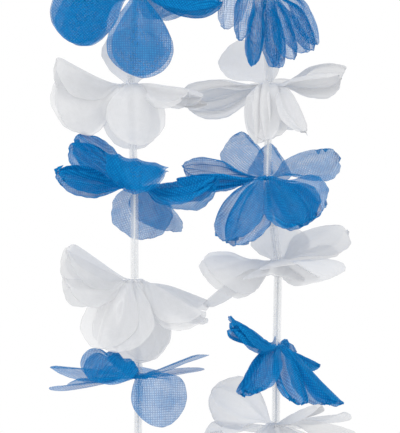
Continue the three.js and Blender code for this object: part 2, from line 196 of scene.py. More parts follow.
LEFT = [
  Flower(BLUE, x=-37, z=-38, tilt=22, petals=[
    [36, -24, -30, 0.35, 0, 12], [108, -6, -24, 0.35, 0, 12], [180, -12, -30, 0.35, 0, 14],
    [252, -4, -30, 0.35, 0, 10], [324, -20, -34, 0.35, 0, 12],
    [46, -30, -34, 0.35, 0, 16], [118, -12, -24, 0.35, 0, 10], [190, -18, -26, 0.35, 0, 12],
    [262, -10, -34, 0.35, 0, 14], [314, -28, -34, 0.35, 0, 14]]),
  Flower(WHITE, x=-38, z=-92.5, tilt=0, petals=[
    [40, -14, -30, 0.35, 0, 12], [108, 4, -26, 0.35, 0, 14], [176, -2, -22, 0.35, 0, 16],
    [248, -6, -34, 0.35, 0, 12], [318, -10, -32, 0.35, 0, 14],
    [48, -20, -34, 0.35, 0, 14], [118, -4, -30, 0.35, 0, 12], [188, -10, -24, 0.35, 0, 14],
    [258, -12, -36, 0.35, 0, 12], [310, -18, -30, 0.35, 0, 12]]),
  Flower(BLUE, x=-38, z=-147.5, tilt=0, petals=[
    [-80, -60, -26, 0.18, 0, 4], [197, -22, 2, 0.35, -80, 6], [-24, -2, -4, 0.35, -14, 60, 0.6],
    [46, 8, -14, 0.35, -20, 25], [152, -18, -6, 0.35, -66, 8],
    [-68, -62, -22, 0.18, 0, 4], [202, -18, -4, 0.35, -80, 6], [-20, -6, 2, 0.35, -24, 60, 0.55],
    [56, 8, -14, 0.35, -20, 15], [160, -14, -4, 0.35, -66, 8]]),
  Flower(WHITE, x=-41.5, z=-198, tilt=0, petals=[
    [212, -16, -12, 0.35, -76, 14], [-76, -6, -82, 0.31, 0, 26], [-50, -2, -8, 0.35, 0, 70, 0.75],
    [88, 44, 8, 0.35, 0, 8], [148, 10, 6, 0.35, -20, 60],
    [216, 14, 6, 0.35, -6, 78], [218, -14, -16, 0.35, -74, 16], [-38, -4, -8, 0.35, 50, 70, 0.5],
    [-30, -12, -2, 0.35, 55, 60, 0.3], [88, -4, -74, 0.28, 0, 30]]),
  Flower(BLUE, x=-39, z=-256, tilt=0, petals=[
    [213, 6, 2, 0.35, -60, 14, 0.6], [145, 39, 0, 0.35, -60, 10, 0.6], [-86, 38, -130, 0.6, -15, 0],
    [-24, 0, 12, 0.35, -15, 55, 0.75], [82, -4, -66, 0.34, 0, 10],
    [216, 12, -2, 0.35, -60, 14, 0.5], [148, 36, -4, 0.35, -54, 16, 0.6], [-85, 37, -130, 0.6, -14, 4],
    [-30, -6, 14, 0.35, -15, 60, 0.8], [64, -14, -28, 0.35, 10, 16]]),
  Flower(WHITE, x=-39, z=-309.5, tilt=0, petals=[
    [222, 2, 2, 0.35, 0, 78], [232, -34, -30, 0.28, -12, 6], [-56, -58, -28, 0.2, 0, 6],
    [-34, -16, -8, 0.35, 0, 58], [138, 22, 4, 0.35, 66, 80],
    [218, 24, 2, 0.35, 0, 68], [254, -36, -30, 0.3, 0, 6], [-70, -54, -38, 0.2, 0, 6],
    [-30, -22, -4, 0.35, 10, 50], [34, -6, -12, 0.35, -10, 45]]),
  Flower(BLUE, x=-36.5, z=-364, tilt=0, petals=[
    [-58, 14, -100, 0.36, 0, 8], [236, 44, -80, 0.46, -12, 8, 0.86], [198, 11, -6, 0.35, -8, 10],
    [48, 12, 0, 0.35, -14, 3], [100, 4, 0, 0.35, 0, 8],
    [240, 42, -78, 0.46, -12, 8, 0.86], [172, -6, -2, 0.35, 0, 8], [135, -2, -4, 0.35, 0, 8],
    [90, 0, -2, 0.35, 0, 8], [56, 4, 0, 0.35, -6, 4]]),
  Flower(WHITE, x=-37.5, z=-414.5, tilt=0, petals=[
    [0, 26, -4, 0.35, -30, 15], [80, 6, -36, 0.35, 0, 12], [152, -4, -40, 0.35, 0, 15],
    [222, -8, -40, 0.35, 0, 12], [-66, -10, -50, 0.35, 0, 12],
    [-8, 18, -6, 0.35, -30, 15], [90, -4, -40, 0.35, 0, 12], [162, -14, -44, 0.35, 0, 14],
    [232, -18, -44, 0.35, 0, 12], [-58, -20, -54, 0.35, 0, 10]]),
]

BOTTOM = Flower(BLUE, x=10, z=-436.5, tilt=55, petals=[
  [0, -4, -20, 0.35, 0, 12], [62, -12, -30, 0.35, 0, 14], [102, -2, -16, 0.35, 0, 12],
  [-62, -12, -30, 0.35, 0, 12], [-122, 0, -20, 0.35, 0, 14],
  [8, -14, -22, 0.35, 0, 12], [70, -22, -30, 0.35, 0, 14], [110, -10, -18, 0.35, 0, 12],
  [-54, -22, -30, 0.35, 0, 12], [-114, -12, -20, 0.35, 0, 14]])

RIGHT = [
  Flower(BLUE, x=39, z=-38, tilt=-22, petals=[
    [0, -12, -30, 0.35, 0, 14], [72, -6, -24, 0.35, 0, 12], [144, -24, -32, 0.35, 0, 12],
    [216, -22, -34, 0.35, 0, 12], [288, -6, -30, 0.35, 0, 10],
    [10, -18, -26, 0.35, 0, 12], [82, -12, -26, 0.35, 0, 14], [134, -30, -30, 0.35, 0, 12],
    [226, -30, -30, 0.35, 0, 14], [298, -14, -30, 0.35, 0, 14]]),
  Flower(WHITE, x=39, z=-92.5, tilt=0, petals=[
    [4, -2, -24, 0.35, 0, 14], [72, 2, -26, 0.35, 0, 14], [140, -10, -32, 0.35, 0, 12],
    [220, -14, -30, 0.35, 0, 12], [292, -8, -34, 0.35, 0, 12],
    [14, -10, -24, 0.35, 0, 12], [82, -6, -30, 0.35, 0, 12], [132, -18, -30, 0.35, 0, 14],
    [228, -20, -32, 0.35, 0, 14], [302, -14, -36, 0.35, 0, 12]]),
  Flower(BLUE, x=35, z=-145, tilt=0, petals=[
    [226, 14, -92, 0.42, -30, 40, 0.6], [249, -52, -24, 0.3, -10, 40, 0.36],
    [-76, -60, -18, 0.3, 10, 40, 0.38], [-34, -14, -50, 0.35, 40, 30, 0.38],
    [-58, -48, -16, 0.3, 20, 40, 0.45],
    [244, -4, -72, 0.42, -20, 40, 0.4], [251, -49, -26, 0.3, -10, 50, 0.34],
    [-68, -58, -16, 0.3, 10, 45, 0.42], [-50, -42, -10, 0.3, 30, 35, 0.45],
    [-42, -26, -34, 0.35, 40, 30, 0.38]]),
  Flower(WHITE, x=38, z=-198, tilt=0, petals=[
    [112, 30, 10, 0.35, -20, 10], [163, -4, -4, 0.35, 40, 14, 0.7], [-96, 6, -86, 0.3, 0, 40, 0.9],
    [-62, -14, -40, 0.4, -20, 45, 0.6], [30, 16, -8, 0.35, -44, 15, 0.7],
    [62, -12, -22, 0.3, 10, 50], [158, -12, -2, 0.35, 38, 14, 0.7], [-108, -2, -86, 0.34, 0, 40, 0.7],
    [-43, 6, 0, 0.35, -24, 25, 0.7], [80, 14, -8, 0.35, 0, 10]]),
  Flower(BLUE, x=36.5, z=-251, tilt=0, petals=[
    [158, 10, -6, 0.35, 40, 10, 0.8], [108, 32, 6, 0.35, 0, 35], [36, 24, -6, 0.35, 22, 20],
    [-52, -24, -2, 0.35, 56, 8, 0.85], [226, -34, -24, 0.3, -10, 10, 0.9],
    [175, 3, -4, 0.35, 40, 30, 0.4], [86, 28, 0, 0.35, 0, 50], [-66, -20, -20, 0.35, 20, 8, 0.85],
    [-60, -28, -4, 0.35, 46, 10, 0.8], [236, -38, -22, 0.3, 0, 20, 0.9]]),
  Flower(WHITE, x=43, z=-298.5, tilt=0, petals=[
    [38, 30, -8, 0.35, 17, 10], [-56, 0, -16, 0.35, 20, 12], [-80, 4, -8, 0.35, -6, 24],
    [222, 0, -12, 0.35, -40, 20], [200, -24, -10, 0.35, 26, 10],
    [86, 36, -6, 0.35, 0, 20], [-96, 0, -10, 0.35, 0, 24], [58, 16, -6, 0.35, 0, 14],
    [216, -2, -12, 0.35, -40, 20], [130, 8, -20, 0.35, 0, 15]]),
  Flower(BLUE, x=42, z=-347, tilt=0, petals=[
    [242, 15, 4, 0.35, -34, 20, 0.6], [250, -14, -26, 0.35, 20, 20, 0.7],
    [-72, -26, -22, 0.3, -30, 20, 0.62], [-14, -38, -8, 0.35, -10, 50, 0.75],
    [88, 14, -28, 0.35, 0, 30, 0.7],
    [240, 14, 2, 0.35, -30, 30, 0.55], [246, -14, -28, 0.35, 24, 16, 0.7],
    [-38, -31, -10, 0.35, 0, 50, 0.8], [58, -12, -4, 0.35, 0, 65, 0.4],
    [120, 16, 4, 0.35, 39, 20, 0.6]]),
  Flower(WHITE, x=41.5, z=-391.5, tilt=0, petals=[
    [138, 22, 0, 0.35, -70, 10, 0.85], [230, -30, -28, 0.3, 0, 20], [-62, 18, -2, 0.35, 14, 8, 0.4],
    [-34, 0, -4, 0.35, -30, 15], [38, 8, -4, 0.35, -10, 20],
    [-88, -36, -40, 0.3, 0, 10], [-48, -28, -40, 0.3, 0, 10], [134, 0, -2, 0.35, 0, 20],
    [80, -6, -20, 0.35, 0, 14], [237, -44, -28, 0.3, 0, 20]]),
]

TOP = Flower(WHITE, x=0, z=0, tilt=90, petals=[
  [36, 10, -10, 0.35, 0, 12], [104, 14, -14, 0.35, 0, 12], [180, 18, -20, 0.35, 0, 14],
  [256, 12, -14, 0.35, 0, 12], [324, 8, -10, 0.35, 0, 12],
  [46, -8, -20, 0.35, 0, 12], [114, -4, -16, 0.35, 0, 14], [190, 6, -10, 0.35, 0, 12],
  [266, -4, -16, 0.35, 0, 12], [334, -8, -20, 0.35, 0, 14]])

ring = [("top", TOP)]
ring += [(f"left_{number}", flower) for number, flower in enumerate(LEFT, 1)]
ring += [("bottom", BOTTOM)]
ring += [(f"right_{number}", flower) for number, flower in reversed(list(enumerate(RIGHT, 1)))]
print(len(ring), "flowers, the first is", ring[0][0])

# %% [markdown]
# ## A petal's outline and its bend
# The outline comes from one formula: a round lobe on a neck. The bend is a
# slope that changes along the middle line, and adding up small steps along that
# slope gives how far out and how high each point of the line has come. The
# fold across works in the same way, from the rib to the rim.

# %% Outline, middle line and fold
STEPS = 160
LOBE_LEAN = 1.5
LOBE_ROUNDNESS = 0.55


def smooth(x):
    t = np.clip(x, 0.0, 1.0)
    return t * t * (3.0 - 2.0 * t)


def half_width(share):
    """How far the cut rim is from the rib, at a share of the petal's length."""
    lobe = np.sin(np.pi * np.clip(share, 0.0, 1.0) ** LOBE_LEAN)
    lobe = PETAL_HALF_WIDTH * np.clip(lobe, 0.0, 1.0) ** LOBE_ROUNDNESS
    neck = NECK_HALF_WIDTH * (1.0 - share) ** 2
    return np.hypot(lobe, neck)


def added_up(slopes, step):
    """How far a line of small steps has come, along and up, at each of its points."""
    middle = (slopes[1:] + slopes[:-1]) / 2.0
    along = np.concatenate([[0.0], np.cumsum(np.cos(middle) * step)])
    up = np.concatenate([[0.0], np.cumsum(np.sin(middle) * step)])
    return along, up


def middle_line(lift, bend, at):
    shares = np.linspace(0.0, 1.0, STEPS + 1)
    slopes = np.radians(lift) + np.radians(bend) * smooth((shares - at) / BEND_SPREAD + 0.5)
    along, up = added_up(slopes, petal_length / STEPS)
    return shares, ROOT_RADIUS + along, up, slopes


def fold_line(fold):
    shares = np.linspace(0.0, 1.0, STEPS + 1)
    opening = np.tanh(FOLD_ROUNDNESS * shares) / np.tanh(FOLD_ROUNDNESS)
    side, down = added_up(np.radians(fold) * opening, 1.0 / STEPS)
    return shares, side, down


widest = float(half_width(np.linspace(0.0, 1.0, STEPS)).max())
print("the rim is up to", round(widest, 1), "mm from the rib")

# %% [markdown]
# ## Where a point of the flat petal ends up
# A point is a share of the petal's length and a place across it, from -1 to 1.
# At the flower's middle the five petals are one disc of cloth, so there each
# petal takes its sector of the disc, up to the lines halfway to its neighbours.

# %% Petal points
SECTOR_ENDS = 3.0
SECTOR_FADES = 5.0


def share_of(radius):
    return np.clip((radius - ROOT_RADIUS) / petal_length, 0.0, 1.0)


def drawn_in(petal, share):
    """What share of its flat width the pleats leave a petal, from the middle outwards."""
    drawn = petal[6] if len(petal) > 6 else 1.0
    return 1.0 - (1.0 - drawn) * smooth(share / FOLD_BY)


def petal_points(petal, sector, radius, across):
    azimuth, lift, bend, at, roll, fold = petal[:6]
    share = share_of(radius)
    turn = math.radians(azimuth)
    outward = np.array((math.cos(turn), math.sin(turn), 0.0))
    sideways = np.array((-math.sin(turn), math.cos(turn), 0.0))
    upward = np.array((0.0, 0.0, 1.0))
    shares, out_line, up_line, slope_line = middle_line(lift, bend, at)
    out = np.minimum(np.interp(share, shares, out_line), np.where(share > 0, np.inf, radius))
    up = np.interp(share, shares, up_line)
    slope = np.interp(share, shares, slope_line)
    normal = -np.sin(slope)[:, None] * outward + np.cos(slope)[:, None] * upward
    twist = math.radians(roll) * smooth(share / TWIST_BY)
    cos_twist = np.cos(twist)[:, None]
    sin_twist = np.sin(twist)[:, None]
    side_way = cos_twist * sideways + sin_twist * normal
    face_way = -sin_twist * sideways + cos_twist * normal
    width = half_width(share) * np.minimum(radius / ROOT_RADIUS, 1.0) * drawn_in(petal, share)
    fold_shares, side_line, down_line = fold_line(fold)
    side = np.interp(np.abs(across), fold_shares, side_line) * np.sign(across) * width
    down = np.interp(np.abs(across), fold_shares, down_line) * width * smooth(share / FOLD_BY)
    free = out[:, None] * outward + up[:, None] * upward
    free = free + side[:, None] * side_way - down[:, None] * face_way
    low, high = np.radians(sector)
    angle = low + (high - low) * (across + 1.0) / 2.0
    disc = radius[:, None] * np.stack([np.cos(angle), np.sin(angle), 0.0 * angle], axis=1)
    weight = smooth((radius - SECTOR_ENDS) / SECTOR_FADES)[:, None]
    return (1.0 - weight) * disc + weight * free


def sectors(petals):
    """Each petal's share of the disc in the middle, from the lines halfway to its neighbours."""
    order = sorted(range(len(petals)), key=lambda k: petals[k][0] % 360)
    azimuths = [petals[k][0] % 360 for k in order]
    found = {}
    for place, k in enumerate(order):
        here = azimuths[place]
        before = azimuths[place - 1] - (360 if place == 0 else 0)
        after = azimuths[(place + 1) % len(order)] + (360 if place == len(order) - 1 else 0)
        found[k] = ((before + here) / 2.0, (here + after) / 2.0)
    return found


print("sectors of the top flower:", sectors(TOP.petals[:PETALS_PER_LAYER]))

# %% [markdown]
# ## Pleats and waves
# The petals are pressed into pleats that run from the middle to the rim, and the
# rim itself waves. Both are a height off the smooth petal. A pleat is not a round
# wave: cloth folds sharply and leans over, so the wave goes through an arcsine,
# which makes ridges of it, and its phase is pulled to one side. Where fine pleats
# draw a petal in, the cloth to spare makes them higher. The flowers are not all
# pleated alike, so there are five styles. Steep pleats also put more cloth into
# each bit of the petal, which looks denser: that is its closeness, and the
# cloth's paint uses it later.

# %% Pleats
GATHERS = 3
GATHER_HEIGHT = 0.35
GATHER_FADES = 7.0
PLEATS_LEAN = 0.6
PLEATS_PRESSED = 0.8
PLEATS_END = 10.0
PLEATS_START = 0.12
PLEATS_SHIFT = 0.1
PLEATS_SWAY = 0.05
RIDGE_SHARPNESS = 0.95
RIDGE_PEAK = 1.25
SLOPE_STEP = 0.01
STEEPEST = 1.5
RIM_CLOSENESS = 0.8

Pleats = namedtuple("Pleats", "count root rim wave dense nicked")
SOFT = Pleats(count=2.5, root=0.45, rim=0.15, wave=1.1, dense=1.0, nicked=0.004)
SMOOTH = Pleats(count=3.0, root=0.5, rim=0.25, wave=1.4, dense=1.0, nicked=0.010)
FLUTED = Pleats(count=3.5, root=0.9, rim=0.8, wave=1.7, dense=1.05, nicked=0.018)
STRIPS = Pleats(count=10.5, root=0.1, rim=0.1, wave=0.8, dense=0.36, nicked=0.015)
GATHERED = Pleats(count=3.0, root=0.6, rim=0.3, wave=1.4, dense=1.3, nicked=0.012)


def pleat_heights(petal, pleats, seed, radius, across):
    """How far each point is pushed off the smooth petal, in millimetres."""
    draw = np.random.default_rng(seed)
    shift, lean, bow = draw.uniform(-1.0, 1.0, 3)
    share = share_of(radius)
    drawn = drawn_in(petal, share)
    steepness = np.sqrt(1.0 / drawn**2 - 1.0)
    spare = PLEATS_PRESSED * steepness * half_width(share) * drawn / (2.0 * pleats.count)
    pressed = pleats.root * (1.0 - share) + pleats.rim * share
    narrowing = np.minimum(half_width(share) / PLEATS_END, 1.0)
    height = pressed * narrowing + spare
    place = across / 2.0 + PLEATS_SHIFT * shift + PLEATS_SWAY * np.sin(3.0 * share + lean)
    phase = 2.0 * math.pi * pleats.count * place
    ridge = RIDGE_SHARPNESS * np.cos(phase + PLEATS_LEAN * np.sin(phase))
    ridge = np.arcsin(ridge) / RIDGE_PEAK
    uneven = 0.7 + 0.3 * np.sin(2.2 * across + 5.0 * shift)
    wave = pleats.wave * share**2 * np.sin(2.4 * across + 2.0 * lean + 1.5 * bow)
    wave = wave * narrowing
    gather = np.exp(-radius / GATHER_FADES) * np.cos(math.pi * GATHERS * (across + 1.0))
    rising = smooth(share / PLEATS_START)
    return rising * (height * ridge * uneven + wave) + GATHER_HEIGHT * gather


def closeness(petal, pleats, seed, radius, across):
    """How much cloth lies over each bit of the smooth petal: more where pleats are steep."""
    before = pleat_heights(petal, pleats, seed, radius, across - SLOPE_STEP)
    after = pleat_heights(petal, pleats, seed, radius, across + SLOPE_STEP)
    share = share_of(radius)
    drawn = drawn_in(petal, share)
    run = 2.0 * SLOPE_STEP * half_width(share) * drawn
    steep = np.abs(after - before) / np.maximum(run, 2.0 * SLOPE_STEP)
    steep = np.minimum(steep, STEEPEST)
    edge = 1.0 + RIM_CLOSENESS * (1.0 - drawn) * across**4
    return pleats.dense * (1.0 + steep**2) ** 0.25 * drawn**-0.7 * edge


styles = (SOFT, SMOOTH, FLUTED, STRIPS, GATHERED)
print("pleats across a petal, by style:", [style.count for style in styles])

# %% [markdown]
# ## A cut rim that is not perfect
# The die leaves a slightly uneven edge, and handling wears it. So points near the
# rim are drawn a little towards the petal's middle, by two waves of different
# length that run round it. Points near the gathered middle stay where they are,
# because the petals are joined there.

# %% Cut rim
PETAL_MIDDLE = 0.6
RAGGED_FROM = 0.25
RAGGED_FADES = 0.2
JOINED_TO = 0.1
LONG_NICKS = 7.0
SHORT_NICKS = 17.0


def ragged(nicked, seed, radius, across):
    """Draws points near the rim a little towards the petal's middle, unevenly."""
    share = share_of(radius)
    side = across * half_width(share) / petal_length
    out = share - PETAL_MIDDLE
    angle = np.arctan2(side, out)
    start = 2.0 * seed[0] + 1.3 * seed[1]
    nicks = 2.0 + 1.3 * np.sin(LONG_NICKS * angle + start)
    nicks = nicks + 0.7 * np.sin(SHORT_NICKS * angle - start)
    nearness = np.maximum(np.abs(across), share) ** 6
    nearness = nearness * smooth((share - RAGGED_FROM) / RAGGED_FADES)
    shrink = 1.0 - nicked * nicks * nearness
    new_share = PETAL_MIDDLE + out * shrink
    new_across = side * shrink * petal_length / half_width(new_share)
    moved = share > JOINED_TO
    new_radius = np.where(moved, ROOT_RADIUS + new_share * petal_length, radius)
    return new_radius, np.where(moved, np.clip(new_across, -1.0, 1.0), across)


tip, _ = ragged(FLUTED.nicked, (0, 0), np.array([BLANK_RADIUS]), np.array([0.0]))
print("a fluted petal's tip is drawn in by", round(BLANK_RADIUS - float(tip[0]), 1), "mm")

# %% [markdown]
# ## One layer of cloth
# Every petal starts as a flat grid from an operator, whose points are then put
# where the formula says. The grids are welded where they meet in the middle.
# Pleats and waves push the points along the cloth's own normals, and a Solidify
# modifier gives the sheet its thickness. Each point keeps its place on the flat
# blank, so that the weave runs straight through all petals.

# %% Layer of five petals
ROWS_ALONG = 40
COLUMNS_ACROSS = 44
ROWS_CROWD = 0.85
EYELET = 1.5


def add_petal(mesh, layers, petal, sector, pleats, seed, number):
    cloth, close, push = layers
    grid = bmesh.ops.create_grid(mesh, x_segments=ROWS_ALONG, y_segments=COLUMNS_ACROSS, size=1.0)
    points = grid["verts"]
    along = np.array([(point.co.x + 1.0) / 2.0 for point in points])
    across = np.array([point.co.y for point in points])
    radius = EYELET + (BLANK_RADIUS - EYELET) * np.sin(along * math.pi / 2.0) ** ROWS_CROWD
    share = share_of(radius)
    places = petal_points(petal, sector, *ragged(pleats.nicked, seed, radius, across))
    heights = pleat_heights(petal, pleats, seed, radius, across)
    near = closeness(petal, pleats, seed, radius, across)
    width = half_width(share) * np.minimum(radius / ROOT_RADIUS, 1.0)
    turn = 2.0 * math.pi * number / PETALS_PER_LAYER
    flat_x = radius * math.cos(turn) - width * across * math.sin(turn)
    flat_y = radius * math.sin(turn) + width * across * math.cos(turn)
    rim = np.minimum(width * (1.0 - np.abs(across)), BLANK_RADIUS - radius)
    rim = np.where(radius < ROOT_RADIUS, width, rim)
    for k, point in enumerate(points):
        point.co = places[k]
        point[push] = heights[k]
        point[close] = near[k]
        point[cloth] = (flat_x[k], flat_y[k], rim[k])


def layer_mesh(petals, pleats, seed):
    """Five petals, in millimetres round the origin. The layers are fetched once all are added."""
    mesh = bmesh.new()
    mesh.verts.layers.float_vector.new("cloth")
    mesh.verts.layers.float.new("closeness")
    mesh.verts.layers.float.new("push")
    numbers = mesh.verts.layers.float
    cloth = mesh.verts.layers.float_vector["cloth"]
    layers = (cloth, numbers["closeness"], numbers["push"])
    wedges = sectors(petals)
    for k, petal in enumerate(petals):
        add_petal(mesh, layers, petal, wedges[k], pleats, (seed, k), k)
    bmesh.ops.remove_doubles(mesh, verts=mesh.verts, dist=WELD)
    mesh.normal_update()
    push = numbers["push"]
    moves = [point.normal * point[push] for point in mesh.verts]
    for point, move in zip(mesh.verts, moves):
        point.co += move
    numbers.remove(push)
    return mesh


def put(mesh, flower, rise=0.0):
    """Moves a mesh made round the origin to a flower's place, and turns it into metres."""
    tilt = math.radians(flower.tilt)
    centre = Vector((0, 0, 0))
    bmesh.ops.translate(mesh, verts=mesh.verts, vec=(0, 0, rise))
    turn = Matrix.Rotation(tilt, 3, "Y")
    bmesh.ops.rotate(mesh, verts=mesh.verts, cent=centre, matrix=turn)
    bmesh.ops.translate(mesh, verts=mesh.verts, vec=(flower.x, 0, flower.z))
    bmesh.ops.scale(mesh, verts=mesh.verts, vec=(MM, MM, MM))


def thicken(piece):
    sheet = piece.modifiers.new("cloth_thickness", "SOLIDIFY")
    sheet.thickness = CLOTH_THICKNESS * MM
    sheet.offset = 0.0


def piece_from(mesh, name, paint, sharper_than=60):
    data = bpy.data.meshes.new(name)
    mesh.to_mesh(data)
    mesh.free()
    data.shade_smooth()
    data.set_sharp_from_angle(angle=math.radians(sharper_than))
    data.materials.append(paint)
    piece = bpy.data.objects.new(name, data)
    scene.collection.objects.link(piece)
    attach(piece, "root")
    return piece


print("a petal's grid has", ROWS_ALONG, "by", COLUMNS_ACROSS, "faces")

# %% [markdown]
# ## Paint written as sums
# A material is a net of nodes. To keep it readable, a small class wraps a socket
# so that an expression such as 1 - mask adds the Math nodes itself. Any other
# node comes from one method of the paint.

# %% A helper for materials
class Value:
    """A number that a node gives, which sums and products can be written with."""

    def __init__(self, paint, socket):
        self.paint = paint
        self.socket = socket

    def _maths(self, operation, first, second):
        return self.paint.node("ShaderNodeMath", {"operation": operation}, [first, second])

    def __add__(self, other):
        return self._maths("ADD", self, other)

    def __radd__(self, other):
        return self._maths("ADD", other, self)

    def __sub__(self, other):
        return self._maths("SUBTRACT", self, other)

    def __rsub__(self, other):
        return self._maths("SUBTRACT", other, self)

    def __mul__(self, other):
        return self._maths("MULTIPLY", self, other)

    def __rmul__(self, other):
        return self._maths("MULTIPLY", other, self)

    def __pow__(self, other):
        return self._maths("POWER", self, other)

    def sine(self):
        return self.paint.node("ShaderNodeMath", {"operation": "SINE"}, [self])


class Paint:
    """A material whose nodes are added one at a time."""

    def __init__(self, name):
        self.material = bpy.data.materials.new(name)
        self.material.use_nodes = True
        self.tree = self.material.node_tree
        self.shader = self.tree.nodes["Principled BSDF"]

    def node(self, kind, settings=None, values=(), output=0):
        made = self.tree.nodes.new(kind)
        for setting, value in (settings or {}).items():
            setattr(made, setting, value)
        named = values.items() if isinstance(values, dict) else enumerate(values)
        for key, value in named:
            self.feed(made.inputs[key], value)
        return Value(self, made.outputs[output])

    def feed(self, socket, value):
        if isinstance(value, Value):
            self.tree.links.new(value.socket, socket)
        else:
            socket.default_value = value

    def set(self, **values):
        for name, value in values.items():
            self.feed(self.shader.inputs[name.replace("_", " ")], value)

    def parts(self, vector):
        """The three numbers of a vector, each as a value."""
        split = self.node("ShaderNodeSeparateXYZ", {}, [vector]).socket.node
        return [Value(self, split.outputs[axis]) for axis in "XYZ"]

    def times(self, vector, factors):
        return self.node("ShaderNodeVectorMath", {"operation": "MULTIPLY"}, [vector, factors])

    def mix(self, factor, first, second):
        values = {"Factor": factor, "A": first, "B": second}
        return self.node("ShaderNodeMix", {"data_type": "RGBA"}, values, "Result")

    def range(self, value, low, high, to_low=0.0, to_high=1.0):
        settings = {"interpolation_type": "SMOOTHSTEP", "clamp": True}
        return self.node("ShaderNodeMapRange", settings, [value, low, high, to_low, to_high])

    def least(self, first, second):
        return self.node("ShaderNodeMath", {"operation": "MINIMUM"}, [first, second])

    def noise(self, vector, scale, detail=2.0):
        values = {"Vector": vector, "Scale": scale, "Detail": detail}
        return self.node("ShaderNodeTexNoise", {"noise_dimensions": "3D"}, values)

    def seen_once(self):
        """Leaves back faces clear, so that a closed thin sheet shows only the face in front."""
        clear = self.node("ShaderNodeBsdfTransparent")
        behind = self.node("ShaderNodeNewGeometry", output="Backfacing")
        front = Value(self, self.shader.outputs[0])
        shown = self.node("ShaderNodeMixShader", {}, [behind, front, clear])
        self.feed(self.tree.nodes["Material Output"].inputs["Surface"], shown)

    def bump(self, height, distance, strength=1.0):
        values = {"Height": height, "Distance": distance, "Strength": strength}
        return self.node("ShaderNodeBump", {}, values)


print("helpers of a paint:", [name for name in vars(Paint) if not name.startswith("_")])

# %% [markdown]
# ## Sheer woven cloth
# The cloth is a plain weave of fine threads with small gaps, so one layer lets
# much of the white behind it through and two or three layers close it up. The
# sheet is closed, and its back faces are left clear, so that a petal is seen once
# and hides the share of what is behind it that Alpha gives. The weave, the thicker
# threads that run through it as faint streaks, soft clouds and the sealed cut edge
# change that share a little. Closeness is a number of layers, so what it lets
# through is that power of what one layer lets through. The threads and the streaks
# make the colour lighter and darker, and a noise paints light and shade for fine
# creases on it. A faint glow stands for the light that comes through the cloth
# from its other side.

# %% Cloth
Weave = namedtuple("Weave", "pitch contrast streaks cover glow relief")
BLUE_WEAVE = Weave(pitch=1.35, contrast=0.3, streaks=0.6, cover=0.68, glow=0.35, relief=0.5)
WHITE_WEAVE = Weave(pitch=1.35, contrast=0.10, streaks=0.2, cover=0.60, glow=0.14, relief=0.1)
THREAD_WANDER = 2.0
THREAD_HEIGHT = 0.00006
WANDER_SCALE = 0.06
STREAKS_ACROSS = 1.3
STREAKS_ALONG = 0.03
CLOUD_SCALE = 0.09
# the size of the painted light and shade that stands for fine creases
CREASE_SHADE_SCALE = 0.4
MEAN_THREADS = 0.75
SEALED_RIM = (0.15, 0.7)
SEALED_COVER = 0.06
FULLY_COVERED = 0.97
CLOTH_ROUGHNESS = 0.75
CLOTH_SPECULAR = 0.05
BLUE_LIGHT = (0.005, 0.235, 0.54, 1)
BLUE_DARK = (0.001, 0.095, 0.285, 1)
WHITE_LIGHT = (0.71, 0.715, 0.73, 1)
WHITE_DARK = (0.65, 0.655, 0.67, 1)


def cloth_paint(name, weave, light, dark):
    paint = Paint(name)
    cloth = paint.node("ShaderNodeAttribute", {"attribute_name": "cloth"}, output="Vector")
    close = paint.node("ShaderNodeAttribute", {"attribute_name": "closeness"}, output="Fac")
    x, y, rim = paint.parts(cloth)
    wander = paint.noise(cloth, WANDER_SCALE) * THREAD_WANDER
    turns = 2.0 * math.pi / weave.pitch
    warp = ((x + wander) * turns).sine() * 0.5 + 0.5
    weft = ((y + wander) * turns).sine() * 0.5 + 0.5
    threads = 1.0 - (1.0 - warp) * (1.0 - weft)
    along_warp = paint.times(cloth, (STREAKS_ACROSS, STREAKS_ALONG, 1.0))
    along_weft = paint.times(cloth, (STREAKS_ALONG, STREAKS_ACROSS, 1.0))
    streaks = paint.noise(along_warp, 1.0) * 0.5 + paint.noise(along_weft, 1.0) * 0.5
    clouds = paint.noise(cloth, CLOUD_SCALE, 3.0)
    # painted light and shade: a noise makes the colour lighter and darker, as fine creases would
    crease_shade = paint.noise(cloth, CREASE_SHADE_SCALE, 4.0)
    sealed = paint.range(rim, *SEALED_RIM, 1.0, 0.0)
    uneven = weave.contrast * (threads - MEAN_THREADS) + weave.streaks * (streaks + clouds - 1.0)
    covered = weave.cover * (1.0 + uneven) + sealed * SEALED_COVER
    one_layer = paint.least(covered, FULLY_COVERED)
    alpha = 1.0 - (1.0 - one_layer) ** close
    # the tone of threads and streaks, with the painted crease shade mixed in
    shade = paint.range(threads * 0.4 + streaks * 0.3 + crease_shade * 0.3, 0.3, 0.8)
    body = paint.mix(shade, light, dark)
    relief = paint.bump(threads, THREAD_HEIGHT, weave.relief)
    paint.set(Base_Color=body, Alpha=alpha, Roughness=CLOTH_ROUGHNESS, Normal=relief)
    paint.set(Emission_Color=body, Emission_Strength=weave.glow)
    paint.set(Specular_IOR_Level=CLOTH_SPECULAR)
    paint.seen_once()
    return paint.material


cloths = {
    BLUE: cloth_paint("blue_sheer_cloth", BLUE_WEAVE, BLUE_LIGHT, BLUE_DARK),
    WHITE: cloth_paint("white_sheer_cloth", WHITE_WEAVE, WHITE_LIGHT, WHITE_DARK),
}
print("cloth paints", [paint.name for paint in cloths.values()])

# %% [markdown]
# ## The gathered middle
# In the middle of a flower both layers are pinched and stuck together round the
# hole. An oval is spun round the hole into a ring, and two waves that run round
# the ring make uneven pinches in it.

# %% Gathered middle
KNOB_OUT = 3.4
KNOB_WIDE = 2.0
KNOB_HIGH = 1.15
KNOB_PLEATS = 11
KNOB_STEPS = 66
KNOB_SEGMENTS = 14
KNOB_PINCH_UP = 0.16
KNOB_PINCH_OUT = 0.05
KNOB_CLOSENESS = 2.0


